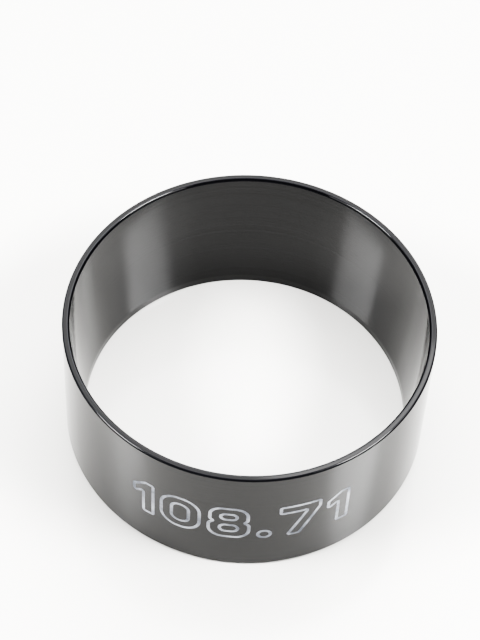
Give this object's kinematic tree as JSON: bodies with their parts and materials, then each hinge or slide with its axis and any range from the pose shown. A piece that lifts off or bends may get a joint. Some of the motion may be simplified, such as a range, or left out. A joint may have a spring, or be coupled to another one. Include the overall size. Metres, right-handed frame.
{
  "type": "piston ring compressor",
  "caption": "Tapered piston ring compressor: a black anodised aluminium sleeve whose bore narrows to the cylinder's diameter and squeezes the rings shut as a piston is pushed through.",
  "frame": {"origin": "centre of the foot, where the bore's axis meets the face that rests on the block's deck", "axes": "+Z along the bore's axis from the foot to the wide mouth, -Y towards the etched size number"},
  "size_m": [0.1214, 0.1214, 0.0521],
  "materials": {
    "black_anodised": "turned smooth, hard anodised glossy black",
    "laser_etched": "bare pale silver where the anodised layer is etched away by laser"
  },
  "bodies": {
    "root": {"tapered_sleeve": "black_anodised"}
  },
  "joints": []
}
